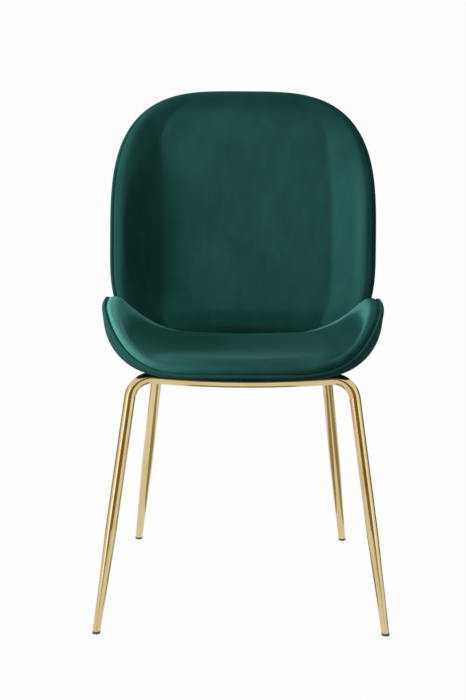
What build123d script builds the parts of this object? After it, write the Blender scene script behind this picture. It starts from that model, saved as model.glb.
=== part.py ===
"""Dining chair: two padded velvet shells on a brass-coloured tube frame.

Millimetres, +Z up, front of the chair towards -Y, origin on the floor under the middle of the chair.
"""

import os
from math import acos, atan, atan2, cos, hypot, pi, radians, sin

from build123d import *

os.makedirs("parts", exist_ok=True)

# Seat shell: spine from the nose to the rear rim as (y, z) of its control points, then for the two
# ends the outline's powers, the powers by which the rise fades and the flat share of the width,
# then the form of a row: sag share of the rise and bend share of the curl
SEAT_SPINE = ((-241, 458), (-94, 426), (81, 398), (128, 427))
SEAT_HALF_WIDTH = 240
SEAT_WIDEST = 269
SEAT_RISE = 110
SEAT_ROUND = (3.2, 2.9)
SEAT_FADE = (1.6, 1.15)
SEAT_FLAT = (0.77, 0.57)
SEAT_FORM = (0.1, 0.94)

# Back shell: spine from the lower tip to the top edge, then as for the seat
BACK_SPINE = ((146, 375), (186, 500), (222, 702), (240.5, 870))
BACK_HALF_WIDTH = 238.5
BACK_WIDEST = 212
BACK_RISE = 75
BACK_ROUND = (3.0, 3.5)
BACK_FADE = (1.5, 1.5)
BACK_FLAT = (0.68, 0.68)
BACK_FORM = (0.08, 0.5)

# Build-up of each shell, outward and inward from the face that carries the pad
COVER = 2.0
SHELL = 5.5
BOARD = 2.5
SKIN = 1.5
LAYER_GAP = 0.4
BOARD_GAP = 0.9
PAD_INSET = 4
PAD_EDGE = 4
SEAT_PAD = 17
BACK_PAD = 22
SEAT_EDGE = 10
BACK_EDGE = 8
BACK_PAD_RAISE = 53

# Tube frame: bar insets and the first number of each foot are measured from the seat's half width
TUBE_RADIUS = 10
TUBE_WALL = 1.5
TIP_RADIUS = 6.5
TAPER = 180
BEND_RADIUS = 38
BEND_STRAIGHT = 4
BAR_SAG = 6
FRONT_BAR = (-139, 417.5)
FRONT_BAR_INSET = 95
FRONT_FOOT = (7, -242)
REAR_BAR = (81, 393.5)
REAR_BAR_INSET = 130
REAR_FOOT = (-41, 214)
WELD_GAP = 0.2

# Foot glides
GLIDE_CAP = 4
GLIDE_LIP = 0.3
PLUG_LENGTH = 20
PLUG_FIT = 0.2

# Rails, back bracket and fasteners
RAIL_X = 70
RAIL_WIDTH = 30
RAIL_THICKNESS = 5
RAIL_BOLTS = (48, 172)
BRACKET_WIDTH = 150
BRACKET_BEND = 6
BRACKET_RISE = 10
BRACKET_STATION = 39
BRACKET_GAP = 1.0
BACK_BOLT_PITCH = 38
BOLT_RADIUS = 3
BOLT_HEAD = (5.2, 3.3)
SOCKET = (2.3, 1.8)
WASHER = (7, 1.2)
HOLE_FIT = 0.3
THREAD_FIT = 0.05
SPACER_RADIUS = 11
SPACER_GAP = 1.2
NUT_FLANGE = (8, 1.2)
NUT_BARREL = 3.9
NUT_SINK = 0.7

ROW_SHARES = (0.3, 0.52, 0.66, 0.78, 0.87, 0.94, 0.98, 0.998)
ROW_POINTS = 23


class Row:
    """One cross-section of a dish: a shallow middle arc, a bend and a straight flange."""

    def __init__(self, plane, width, rise, flat_share, form, end_share, power):
        middle_share, bend_share = form
        self.plane = plane
        self.end_share = end_share
        self.power = power
        flat, sag = flat_share * width, middle_share * rise
        self.middle_radius = hypot(flat, sag) ** 2 / (2 * sag)
        self.middle_angle = 2 * atan(sag / flat)
        self.middle_length = self.middle_radius * self.middle_angle
        lean = self.middle_angle
        run = (width - flat) * cos(lean) + (rise - sag) * sin(lean)
        lift = (rise - sag) * cos(lean) - (width - flat) * sin(lean)
        self.bend_radius = bend_share * hypot(run, lift) ** 2 / (2 * lift)
        far = hypot(run, lift - self.bend_radius)
        turn = atan2(lift - self.bend_radius, run) + pi / 2 - acos(self.bend_radius / far)
        self.bend_length = self.bend_radius * turn
        flange = (far**2 - self.bend_radius**2) ** 0.5
        self.reach = self.middle_length + self.bend_length + flange

    def point(self, along, depth):
        """Point at a signed length along the row, moved inward by depth."""
        middle = min(abs(along), self.middle_length)
        bend = min(abs(along) - middle, self.bend_length)
        flange = abs(along) - middle - bend
        lean = middle / self.middle_radius
        across = self.middle_radius * sin(lean)
        height = self.middle_radius * (1 - cos(lean))
        slope = lean + bend / self.bend_radius
        across += self.bend_radius * (sin(slope) - sin(lean)) + flange * cos(slope)
        height += self.bend_radius * (cos(lean) - cos(slope)) + flange * sin(slope)
        across -= depth * sin(slope)
        height += depth * cos(slope)
        return (across if along >= 0 else -across, height)

    def edge_share(self, share):
        """Nearness to the outline: 0 in the middle of the dish, 1 on the outline."""
        ends = self.end_share**self.power
        return (abs(share) ** self.power * (1 - ends) + ends) ** (1 / self.power)

    def curve(self, depth, reach):
        """Points of one face of a layer across the row, from the left rim to the right."""
        points = []
        for index in range(ROW_POINTS):
            share = sin(radians(180 * index / (ROW_POINTS - 1) - 90))
            points.append(self.point(share * reach, depth(self.edge_share(share))))
        return points


class Dish:
    """A bowl-shaped sheet of rounded outline, made of rows set square to a curved spine."""

    def __init__(self, spine, half_width, widest, rise, powers, fades, flat_shares, form):
        self.spine = Bezier(*[(0, y, z) for y, z in spine])
        self.half_width = half_width
        self.widest = widest
        self.rise = rise
        self.powers = powers
        self.fades = fades
        self.flat_shares = flat_shares
        self.form = form

    def plane_at(self, length):
        """Plane square to the spine at a length along it, its y axis pointing inward."""
        where = self.spine.position_at(length, position_mode=PositionMode.LENGTH)
        tangent = self.spine.tangent_at(length, position_mode=PositionMode.LENGTH)
        return Plane(origin=where, x_dir=(1, 0, 0), z_dir=-tangent)

    def row(self, signed_share, inset):
        """Row and its half length, the outline drawn in by inset."""
        share = abs(signed_share)
        first = signed_share < 0
        power, fade = (pair[0] if first else pair[1] for pair in (self.powers, self.fades))
        full_length = self.widest if first else self.spine.length - self.widest
        offset = (full_length - inset) * share
        fullness = 1 - (offset / full_length) ** power
        width = self.half_width * fullness ** (1 / power)
        drawn_width = (self.half_width - inset) * (1 - share**power) ** (1 / power)
        plane = self.plane_at(self.widest - offset if first else self.widest + offset)
        towards_last = 0.5 + (-0.5 if first else 0.5) * offset / full_length
        flat = self.flat_shares[0] + (self.flat_shares[1] - self.flat_shares[0]) * towards_last
        row = Row(plane, width, self.rise * fullness**fade, flat, self.form, share, power)
        return row, row.reach * drawn_width / width


def layer(dish, lower, upper, inset):
    """Sheet of a dish between two depths, each a function of the nearness to the outline."""
    shares = [-share for share in reversed(ROW_SHARES)] + [0, *ROW_SHARES]
    with BuildPart() as sheet:
        for share in shares:
            row, reach = dish.row(share, inset)
            with BuildSketch(row.plane):
                with BuildLine():
                    outside = Spline(*row.curve(lower, reach))
                    inside = Spline(*row.curve(upper, reach))
                    Line(outside @ 0, inside @ 0)
                    Line(outside @ 1, inside @ 1)
                make_face()
        loft()
    return sheet.part


def level(depth):
    """Depth function of an even layer."""
    return lambda share: depth


def crown(base, height, sharpness):
    """Depth function of a pad: full in the middle and rolled down to its base at the edge."""
    return lambda share: base + height * max(1 - share**sharpness, 0) ** 0.5


# Depths of the layers, shared by both shells
shell_back = -(SHELL + LAYER_GAP)
shell_front = -LAYER_GAP
cover_front = shell_back - LAYER_GAP
cover_back = cover_front - COVER
board_back = BOARD_GAP - LAYER_GAP
board_front = board_back + BOARD
foam_back = board_front + LAYER_GAP
foam_edge = foam_back + PAD_EDGE
skin_edge = foam_edge + LAYER_GAP
rim_inset = COVER + LAYER_GAP
skin_inset = PAD_INSET - SKIN

seat_ends = (SEAT_ROUND, SEAT_FADE, SEAT_FLAT)
back_ends = (BACK_ROUND, BACK_FADE, BACK_FLAT)
seat = Dish(SEAT_SPINE, SEAT_HALF_WIDTH, SEAT_WIDEST, SEAT_RISE, *seat_ends, SEAT_FORM)
back = Dish(BACK_SPINE, BACK_HALF_WIDTH, BACK_WIDEST, BACK_RISE, *back_ends, BACK_FORM)

seat_cover_blank = layer(seat, level(cover_back), level(0), 0)
seat_pocket = layer(seat, level(cover_front), level(COVER), COVER)
seat_shell_blank = layer(seat, level(shell_back), level(shell_front), rim_inset)
seat_board_blank = layer(seat, level(board_back), level(board_front), PAD_INSET)
seat_foam_blank = layer(seat, level(foam_back), crown(foam_edge, SEAT_PAD, SEAT_EDGE), PAD_INSET)
seat_skin_blank = layer(
    seat,
    crown(skin_edge, SEAT_PAD, SEAT_EDGE),
    crown(skin_edge + SKIN, SEAT_PAD, SEAT_EDGE),
    skin_inset,
)

back_cover_blank = layer(back, level(cover_back), level(0), 0)
back_pocket = layer(back, level(cover_front), level(COVER), COVER)
back_shell_blank = layer(back, level(shell_back), level(shell_front), rim_inset)
back_board_blank = layer(back, level(board_back), level(board_front), PAD_INSET)
back_foam_blank = layer(back, level(foam_back), crown(foam_edge, BACK_PAD, BACK_EDGE), PAD_INSET)
back_skin_blank = layer(
    back,
    crown(skin_edge, BACK_PAD, BACK_EDGE),
    crown(skin_edge + SKIN, BACK_PAD, BACK_EDGE),
    skin_inset,
)
back_pad_end = back.plane_at(BACK_PAD_RAISE)


def bar_path(place, half_length):
    """Centre line of a cross tube that dips in the middle."""
    y, z = place
    return ThreePointArc(
        (-half_length, y, z + BAR_SAG), (0, y, z), (half_length, y, z + BAR_SAG)
    )


def bar(path, radius, bore=0):
    """Round bar along a path, hollow where a bore is given."""
    with BuildPart() as rod:
        with BuildSketch(Plane(origin=path @ 0, z_dir=path % 0)):
            Circle(radius)
            if bore:
                Circle(bore, mode=Mode.SUBTRACT)
        sweep(path=path)
    return rod.part


def leg_axis(foot, corner):
    """Foot centre on the floor and the direction up the leg."""
    base = Vector(foot[0], foot[1], 0)
    return base, (corner - base).normalized()


def leg(foot, path, end):
    """Tapered leg bent over at its top to meet one end of a cross tube."""
    joint = path @ end
    outward = path % end if end else -(path % end)
    corner = joint + outward * (BEND_RADIUS + BEND_STRAIGHT)
    base, upward = leg_axis(foot, corner)
    taper_top = base + upward * TAPER
    with BuildPart() as tube:
        with BuildLine() as run:
            FilletPolyline(taper_top, corner, joint, radius=BEND_RADIUS)
        with BuildSketch(Plane(origin=taper_top, z_dir=upward)):
            Circle(TUBE_RADIUS)
            Circle(TUBE_RADIUS - TUBE_WALL, mode=Mode.SUBTRACT)
        sweep(path=run.wire())
        with Locations(Location(Plane(origin=base, z_dir=upward))):
            Cone(TIP_RADIUS, TUBE_RADIUS, TAPER, align=(Align.CENTER, Align.CENTER, Align.MIN))
            Cone(
                TIP_RADIUS - TUBE_WALL,
                TUBE_RADIUS - TUBE_WALL,
                TAPER,
                align=(Align.CENTER, Align.CENTER, Align.MIN),
                mode=Mode.SUBTRACT,
            )
        split(bisect_by=Plane.XY.offset(GLIDE_CAP), keep=Keep.TOP)
    return tube.part, Plane(origin=base, z_dir=upward)


def glide(plane):
    """Foot glide: a flat cap under the leg with a plug up its bore."""
    with BuildPart() as foot:
        with Locations(Location(plane)):
            Cylinder(TIP_RADIUS + GLIDE_LIP, 6 * GLIDE_CAP)
        split(bisect_by=Plane.XY, keep=Keep.TOP)
        split(bisect_by=Plane.XY.offset(GLIDE_CAP), keep=Keep.BOTTOM)
        with Locations(Location(plane.offset(GLIDE_CAP * 0.7))):
            Cylinder(
                TIP_RADIUS - TUBE_WALL - PLUG_FIT,
                PLUG_LENGTH,
                align=(Align.CENTER, Align.CENTER, Align.MIN),
            )
    return foot.part


front_half = SEAT_HALF_WIDTH - FRONT_BAR_INSET
rear_half = SEAT_HALF_WIDTH - REAR_BAR_INSET
front_path = bar_path(FRONT_BAR, front_half)
rear_path = bar_path(REAR_BAR, rear_half)
front_weld = bar(front_path, TUBE_RADIUS + WELD_GAP)
rear_weld = bar(rear_path, TUBE_RADIUS + WELD_GAP)

# Frame of the rails: x across, y along the rails from the front tube, z up through the bolts
rail_front = front_path @ (0.5 + 0.5 * RAIL_X / front_half)
rail_rear = rear_path @ (0.5 + 0.5 * RAIL_X / rear_half)
rail_length = hypot(rail_rear.Y - rail_front.Y, rail_rear.Z - rail_front.Z)
rail_slope = atan2(rail_rear.Z - rail_front.Z, rail_rear.Y - rail_front.Y)
rail_up = Vector(0, -sin(rail_slope), cos(rail_slope))
rail_plane = Plane(origin=(0, rail_front.Y, rail_front.Z), x_dir=(1, 0, 0), z_dir=rail_up)


class SeatBolt:
    """Axis of one seat bolt, with the heights at which it meets the moulded seat shell."""

    def __init__(self, side, along):
        origin = rail_plane.from_local_coords(Vector(side * RAIL_X, along, 0))
        self.plane = Plane(origin=origin, x_dir=(1, 0, 0), z_dir=rail_up)
        hits = seat_shell_blank.find_intersection_points(Axis(origin, rail_up))
        heights = sorted((point - origin).dot(rail_up) for point, normal in hits)
        self.enter = heights[0]
        self.leave = heights[-1]


seat_bolts_at = [SeatBolt(side, along) for side in (-1, 1) for along in RAIL_BOLTS]

# Frame of the back bolts: z points out of the back pad's side of the shell
bracket_row = back.plane_at(BRACKET_STATION)
back_bolts_at = [
    Plane(origin=bracket_row.origin + Vector(across, 0, 0), x_dir=(1, 0, 0), z_dir=bracket_row.y_dir)
    for across in [(index - 1.5) * BACK_BOLT_PITCH for index in range(4)]
]


def column(plane, start, stop, radius):
    """Cylinder along a bolt axis between two heights above its plane, as a placed solid."""
    with BuildPart() as post:
        with Locations(Location(plane.offset(start))):
            Cylinder(radius, stop - start, align=(Align.CENTER, Align.CENTER, Align.MIN))
    return post.part


def tee_nut(plane, flange, tip):
    """Tee nut with its flange face at one height and its barrel reaching to another."""
    inward = 1 if tip > flange else -1
    under = flange + inward * NUT_FLANGE[1]
    with BuildPart() as nut:
        add(column(plane, min(flange, under), max(flange, under), NUT_FLANGE[0]))
        add(column(plane, min(flange, tip), max(flange, tip), NUT_BARREL))
        bore = column(plane, min(flange, tip) - 1, max(flange, tip) + 1, BOLT_RADIUS + THREAD_FIT)
        add(bore, mode=Mode.SUBTRACT)
    return nut.part


def bolt(plane, seat_height, tip, outward):
    """Button-head bolt whose head bears at one height and whose shank ends at another."""
    head_end = seat_height + outward * BOLT_HEAD[1]
    socket_end = head_end - outward * SOCKET[1]
    with BuildPart() as screw:
        add(column(plane, min(seat_height, head_end), max(seat_height, head_end), BOLT_HEAD[0]))
        fillet(screw.faces().sort_by(Axis(plane.origin, plane.z_dir * outward))[-1].edges(), 1.6)
        add(column(plane, min(seat_height, tip), max(seat_height, tip), BOLT_RADIUS))
        with BuildSketch(plane.offset(socket_end)):
            RegularPolygon(SOCKET[0], 6)
        extrude(amount=outward * (SOCKET[1] + 1), mode=Mode.SUBTRACT)
    return screw.part


def washer(plane, start):
    """Flat washer standing on one height."""
    with BuildPart() as ring:
        add(column(plane, start, start + WASHER[1], WASHER[0]))
        add(column(plane, start - 1, start + 3, BOLT_RADIUS + HOLE_FIT), mode=Mode.SUBTRACT)
    return ring.part


# Back: outer cover, moulded shell, board, foam and front cover
with BuildPart() as back_outer_cover:
    add(back_cover_blank)
    add(back_pocket, mode=Mode.SUBTRACT)
back_outer_cover.part.label = "back_outer_cover"
export_step(back_outer_cover.part, "parts/back_outer_cover.step")

back_nut_face = shell_back + NUT_SINK
with BuildPart() as back_shell:
    add(back_shell_blank)
    for plane in back_bolts_at:
        recess = back_nut_face + NUT_FLANGE[1] + HOLE_FIT
        add(column(plane, shell_back - 2, recess, NUT_FLANGE[0] + HOLE_FIT), mode=Mode.SUBTRACT)
        add(column(plane, shell_back, 2, NUT_BARREL + HOLE_FIT), mode=Mode.SUBTRACT)
back_shell.part.label = "back_shell"
export_step(back_shell.part, "parts/back_shell.step")

with BuildPart() as back_board:
    add(back_board_blank)
    split(bisect_by=back_pad_end, keep=Keep.BOTTOM)
back_board.part.label = "back_board"
export_step(back_board.part, "parts/back_board.step")

with BuildPart() as back_foam:
    add(back_foam_blank)
    split(bisect_by=back_pad_end, keep=Keep.BOTTOM)
back_foam.part.label = "back_foam"
export_step(back_foam.part, "parts/back_foam.step")

with BuildPart() as back_front_cover:
    add(back_skin_blank)
    split(bisect_by=back_pad_end, keep=Keep.BOTTOM)
back_front_cover.part.label = "back_front_cover"
export_step(back_front_cover.part, "parts/back_front_cover.step")

# Seat: under-cover, moulded shell, board, foam and top cover
with BuildPart() as seat_under_cover:
    add(seat_cover_blank)
    add(seat_pocket, mode=Mode.SUBTRACT)
    for place in seat_bolts_at:
        hole = column(place.plane, place.enter - 9, place.enter + 4, SPACER_RADIUS + HOLE_FIT)
        add(hole, mode=Mode.SUBTRACT)
seat_under_cover.part.label = "seat_under_cover"
export_step(seat_under_cover.part, "parts/seat_under_cover.step")

with BuildPart() as seat_shell:
    add(seat_shell_blank)
    for place in seat_bolts_at:
        recess = place.leave - NUT_SINK - NUT_FLANGE[1] - HOLE_FIT
        sink = column(place.plane, recess, place.leave + 3, NUT_FLANGE[0] + HOLE_FIT)
        add(sink, mode=Mode.SUBTRACT)
        bore = column(place.plane, place.enter - 3, place.leave, NUT_BARREL + HOLE_FIT)
        add(bore, mode=Mode.SUBTRACT)
seat_shell.part.label = "seat_shell"
export_step(seat_shell.part, "parts/seat_shell.step")

with BuildPart() as seat_board:
    add(seat_board_blank)
seat_board.part.label = "seat_board"
export_step(seat_board.part, "parts/seat_board.step")

with BuildPart() as seat_foam:
    add(seat_foam_blank)
seat_foam.part.label = "seat_foam"
export_step(seat_foam.part, "parts/seat_foam.step")

with BuildPart() as seat_top_cover:
    add(seat_skin_blank)
seat_top_cover.part.label = "seat_top_cover"
export_step(seat_top_cover.part, "parts/seat_top_cover.step")

# Tube frame: cross tubes, then the four legs with their glides
with BuildPart() as front_cross_tube:
    add(bar(front_path, TUBE_RADIUS, TUBE_RADIUS - TUBE_WALL))
front_cross_tube.part.label = "front_cross_tube"
export_step(front_cross_tube.part, "parts/front_cross_tube.step")

with BuildPart() as rear_cross_tube:
    add(bar(rear_path, TUBE_RADIUS, TUBE_RADIUS - TUBE_WALL))
rear_cross_tube.part.label = "rear_cross_tube"
export_step(rear_cross_tube.part, "parts/rear_cross_tube.step")

front_foot_x = SEAT_HALF_WIDTH + FRONT_FOOT[0]
rear_foot_x = SEAT_HALF_WIDTH + REAR_FOOT[0]
legs = {
    "front_left": leg((-front_foot_x, FRONT_FOOT[1]), front_path, 0),
    "front_right": leg((front_foot_x, FRONT_FOOT[1]), front_path, 1),
    "rear_left": leg((-rear_foot_x, REAR_FOOT[1]), rear_path, 0),
    "rear_right": leg((rear_foot_x, REAR_FOOT[1]), rear_path, 1),
}
for name, (tube, foot_plane) in legs.items():
    with BuildPart() as leg_tube:
        add(tube)
    leg_tube.part.label = f"{name}_leg"
    export_step(leg_tube.part, f"parts/{name}_leg.step")
    with BuildPart() as foot_glide:
        add(glide(foot_plane))
    foot_glide.part.label = f"{name}_glide"
    export_step(foot_glide.part, f"parts/{name}_glide.step")

# Rails between the cross tubes, coped to them and drilled for the seat bolts
for name, side in (("left", -1), ("right", 1)):
    with BuildPart() as rail:
        with Locations(Location(rail_plane) * Pos(side * RAIL_X, rail_length / 2, 0)):
            Box(RAIL_WIDTH, rail_length, RAIL_THICKNESS)
        add(front_weld, mode=Mode.SUBTRACT)
        add(rear_weld, mode=Mode.SUBTRACT)
        for place in seat_bolts_at:
            hole = column(place.plane, -RAIL_THICKNESS, RAIL_THICKNESS, BOLT_RADIUS + HOLE_FIT)
            add(hole, mode=Mode.SUBTRACT)
    rail.part.label = f"{name}_rail"
    export_step(rail.part, f"parts/{name}_rail.step")

# Back bracket: a plate from the rear tube, turned up against the foot of the back shell
plate_front = RAIL_THICKNESS + BRACKET_GAP
plate_face = bracket_row.origin + bracket_row.y_dir * plate_front
spine_up = -bracket_row.z_dir
plate_level = REAR_BAR[1] + BAR_SAG / 2 + RAIL_THICKNESS / 2
turn_point = plate_face + spine_up * ((plate_level - plate_face.Z) / spine_up.Z)
plate_top = plate_face + spine_up * BRACKET_RISE
with BuildPart() as back_bracket:
    with BuildSketch(Plane.YZ):
        with BuildLine():
            upper = FilletPolyline(
                (REAR_BAR[0], plate_level),
                (turn_point.Y, turn_point.Z),
                (plate_top.Y, plate_top.Z),
                radius=BRACKET_BEND,
            )
            offset(upper, amount=RAIL_THICKNESS, side=Side.RIGHT)
        make_face()
    extrude(amount=BRACKET_WIDTH / 2, both=True)
    add(rear_weld, mode=Mode.SUBTRACT)
    for plane in back_bolts_at:
        hole = column(plane, -2, 2 * RAIL_THICKNESS, BOLT_RADIUS + HOLE_FIT)
        add(hole, mode=Mode.SUBTRACT)
back_bracket.part.label = "back_bracket"
export_step(back_bracket.part, "parts/back_bracket.step")

# Fasteners of the seat
rail_top = RAIL_THICKNESS / 2
with BuildPart() as seat_spacers:
    for place in seat_bolts_at:
        add(column(place.plane, rail_top, place.enter - SPACER_GAP, SPACER_RADIUS))
        bore = column(place.plane, 0, place.enter, BOLT_RADIUS + HOLE_FIT)
        add(bore, mode=Mode.SUBTRACT)
seat_spacers.part.label = "seat_spacers"
export_step(seat_spacers.part, "parts/seat_spacers.step")

with BuildPart() as seat_tee_nuts:
    for place in seat_bolts_at:
        add(tee_nut(place.plane, place.leave - NUT_SINK, place.enter + HOLE_FIT))
seat_tee_nuts.part.label = "seat_tee_nuts"
export_step(seat_tee_nuts.part, "parts/seat_tee_nuts.step")

with BuildPart() as seat_washers:
    for place in seat_bolts_at:
        add(washer(place.plane, -rail_top - WASHER[1]))
seat_washers.part.label = "seat_washers"
export_step(seat_washers.part, "parts/seat_washers.step")

with BuildPart() as seat_bolts:
    for place in seat_bolts_at:
        add(bolt(place.plane, -rail_top - WASHER[1], place.leave - NUT_SINK, -1))
seat_bolts.part.label = "seat_bolts"
export_step(seat_bolts.part, "parts/seat_bolts.step")

# Fasteners of the back
with BuildPart() as back_tee_nuts:
    for plane in back_bolts_at:
        add(tee_nut(plane, back_nut_face, shell_front - HOLE_FIT))
back_tee_nuts.part.label = "back_tee_nuts"
export_step(back_tee_nuts.part, "parts/back_tee_nuts.step")

with BuildPart() as back_washers:
    for plane in back_bolts_at:
        add(washer(plane, plate_front))
back_washers.part.label = "back_washers"
export_step(back_washers.part, "parts/back_washers.step")

with BuildPart() as back_bolts:
    for plane in back_bolts_at:
        add(bolt(plane, plate_front + WASHER[1], back_nut_face, 1))
back_bolts.part.label = "back_bolts"
export_step(back_bolts.part, "parts/back_bolts.step")
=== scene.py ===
"""Looks of a dining chair: two padded velvet shells on a polished brass-coloured tube frame."""

import logging
import math
from dataclasses import dataclass, field
from enum import Enum
from functools import cached_property
from typing import Callable, Optional, Union

import bpy
import numpy as np
from mathutils import Matrix, Vector


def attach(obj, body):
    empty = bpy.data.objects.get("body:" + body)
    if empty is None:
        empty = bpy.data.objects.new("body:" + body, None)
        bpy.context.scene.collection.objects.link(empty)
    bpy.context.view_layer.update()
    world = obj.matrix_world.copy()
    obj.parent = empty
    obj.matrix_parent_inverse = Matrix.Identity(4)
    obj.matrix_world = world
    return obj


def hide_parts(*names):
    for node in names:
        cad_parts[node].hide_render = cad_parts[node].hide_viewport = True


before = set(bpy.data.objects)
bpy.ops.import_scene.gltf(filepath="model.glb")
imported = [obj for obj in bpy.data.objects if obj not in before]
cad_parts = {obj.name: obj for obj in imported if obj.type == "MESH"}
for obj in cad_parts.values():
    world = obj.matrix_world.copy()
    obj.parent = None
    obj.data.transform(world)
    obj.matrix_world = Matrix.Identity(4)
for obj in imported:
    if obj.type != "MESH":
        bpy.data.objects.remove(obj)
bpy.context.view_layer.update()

log = logging.getLogger("chair")

MM = 0.001
TINY = 1e-9
BODY = "root"
# Name of the per-point pile value: open pile on rolled edges plus painted light and shade.
NAP_AND_SHADING = "nap"
WHITE = (1.0, 1.0, 1.0, 1.0)

# How finely spines and outlines are sampled, and how close to a dish's end its rows come.
SPINE_SAMPLES = 801
OUTLINE_SAMPLES = 400
LAST_ROW = 0.9995

Pair = tuple[float, float]
Colour = tuple[float, float, float]
Point = tuple[float, float, float]
Stops = list[tuple[float, Colour]]
Depth = Callable[[np.ndarray], np.ndarray]
NapAndShading = Callable[[np.ndarray, np.ndarray, np.ndarray], np.ndarray]
Operand = Union["Socket", float]
Tint = Union["Socket", tuple[float, float, float, float]]


class Slot(Enum):
    """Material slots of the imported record."""

    VELVET = "velvet"
    SHELL = "shell_plastic"
    BOARD = "board"
    BRASS = "brass_tube"
    BLACK_STEEL = "black_steel"
    FASTENER = "fastener_steel"
    RUBBER = "spacer_rubber"
    GLIDE = "glide_plastic"


class Socket:
    """A shader value that can be used in Python expressions."""

    def __init__(self, graph: "Graph", link: bpy.types.NodeSocket) -> None:
        """Wrap an output socket.

        Args:
            graph: Graph that owns the socket's node.
            link: Output socket to wrap.
        """
        self.graph = graph
        self.link = link

    def _math(self, operation: str, first: Operand, second: Operand) -> "Socket":
        """Add a Math node.

        Args:
            operation: Operation of the node.
            first: First operand.
            second: Second operand.

        Returns:
            The node's result.
        """
        return self.graph.node("ShaderNodeMath", {"operation": operation}, {0: first, 1: second})

    def __add__(self, other: Operand) -> "Socket":
        """Sum of two values."""
        return self._math("ADD", self, other)

    def __radd__(self, other: float) -> "Socket":
        """Sum of a number and a value."""
        return self._math("ADD", other, self)

    def __sub__(self, other: Operand) -> "Socket":
        """Difference of two values."""
        return self._math("SUBTRACT", self, other)

    def __rsub__(self, other: float) -> "Socket":
        """Difference of a number and a value."""
        return self._math("SUBTRACT", other, self)

    def __mul__(self, other: Operand) -> "Socket":
        """Product of two values."""
        return self._math("MULTIPLY", self, other)

    def __rmul__(self, other: float) -> "Socket":
        """Product of a number and a value."""
        return self._math("MULTIPLY", other, self)

    def largest(self, other: Operand) -> "Socket":
        """Larger of two values."""
        return self._math("MAXIMUM", self, other)


class Graph:
    """Shader nodes of one material or world."""

    # Numbers of a Mix node's sockets for colours.
    MIX_FACTOR, MIX_FIRST, MIX_SECOND, MIX_RESULT = 0, 6, 7, 2

    # Values between which most of a noise pattern lies.
    NOISE_LOW, NOISE_HIGH = 0.3, 0.7

    def __init__(self, tree: bpy.types.NodeTree) -> None:
        """Start from an empty node tree.

        Args:
            tree: Tree to clear and fill.
        """
        self.tree = tree
        tree.nodes.clear()

    def node(
        self,
        kind: str,
        settings: Optional[dict] = None,
        sockets: Optional[dict] = None,
        output: Union[int, str] = 0,
    ) -> Socket:
        """Add any node.

        Args:
            kind: Blender's name of the node type.
            settings: Properties set before the sockets; "stops" fills a colour ramp.
            sockets: Values or links by input name or number.
            output: Output to return, by name or number.

        Returns:
            The chosen output, or None where the node has no outputs.
        """
        made = self.tree.nodes.new(kind)
        for name, value in (settings or {}).items():
            if name == "stops":
                self._fill_ramp(made.color_ramp, value)
            else:
                setattr(made, name, value)
        for name, value in (sockets or {}).items():
            if isinstance(value, Socket):
                self.tree.links.new(value.link, made.inputs[name])
            else:
                made.inputs[name].default_value = value
        return Socket(self, made.outputs[output]) if len(made.outputs) else None

    @staticmethod
    def _fill_ramp(ramp: bpy.types.ColorRamp, stops: Stops) -> None:
        """Give a colour ramp its stops.

        Args:
            ramp: Ramp to fill.
            stops: Position and colour of each stop.
        """
        while len(ramp.elements) < len(stops):
            ramp.elements.new(1.0)
        for element, (position, colour) in zip(ramp.elements, stops):
            element.position = position
            element.color = (*colour, 1.0)

    def place(self) -> Socket:
        """Position on the object, in metres."""
        return self.node("ShaderNodeTexCoord", output="Object")

    def noise(
        self, scale: float, detail: float = 2.0, rough: float = 0.5, warp: float = 0.0
    ) -> Socket:
        """Soft random pattern.

        Args:
            scale: Features per metre.
            detail: Octaves.
            rough: Weight of the finer octaves.
            warp: Distortion.

        Returns:
            Value around 0.5.
        """
        sockets = {"Scale": scale, "Detail": detail, "Roughness": rough, "Distortion": warp}
        return self.node("ShaderNodeTexNoise", {}, {"Vector": self.place(), **sockets}, "Fac")

    def stretched(self, scale: Point) -> Socket:
        """Soft random pattern, stretched along the axes.

        Args:
            scale: Features per metre along each axis.

        Returns:
            Value around 0.5.
        """
        vector = self.node("ShaderNodeMapping", {}, {"Vector": self.place(), "Scale": scale})
        return self.node("ShaderNodeTexNoise", {}, {"Vector": vector, "Scale": 1.0}, "Fac")

    def ramp(self, value: Socket, stops: Stops) -> Socket:
        """Colour by value.

        Args:
            value: Value to look up.
            stops: Position and colour of each stop.

        Returns:
            The colour.
        """
        return self.node("ShaderNodeValToRGB", {"stops": stops}, {"Fac": value}, "Color")

    def spread(self, value: Socket, low: float, high: float) -> Socket:
        """Noise pattern spread between two limits.

        Args:
            value: Pattern to spread.
            low: Result where the pattern is low.
            high: Result where the pattern is high.

        Returns:
            The limited result.
        """
        limits = {"From Min": self.NOISE_LOW, "From Max": self.NOISE_HIGH}
        sockets = {"Value": value, **limits, "To Min": low, "To Max": high}
        return self.node("ShaderNodeMapRange", {"clamp": True}, sockets)

    def blend(self, factor: Operand, first: Tint, second: Tint) -> Socket:
        """Mix of two colours.

        Args:
            factor: Share of the second colour.
            first: First colour.
            second: Second colour.

        Returns:
            The mixed colour.
        """
        sockets = {self.MIX_FACTOR: factor, self.MIX_FIRST: first, self.MIX_SECOND: second}
        return self.node("ShaderNodeMix", {"data_type": "RGBA"}, sockets, self.MIX_RESULT)

    def bump(self, height: Socket, depth: float, strength: float) -> Socket:
        """Surface relief.

        Args:
            height: Height pattern.
            depth: Depth of the relief in metres.
            strength: Share of the relief that is used.

        Returns:
            The bent normal.
        """
        sockets = {"Strength": strength, "Distance": depth, "Height": height}
        return self.node("ShaderNodeBump", {}, sockets)


def add_object(name: str, data: bpy.types.ID) -> bpy.types.Object:
    """Put a new object into the scene.

    Args:
        name: Name of the object.
        data: Its mesh, lamp or camera.

    Returns:
        The object.
    """
    made = bpy.data.objects.new(name, data)
    bpy.context.scene.collection.objects.link(made)
    return made


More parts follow.
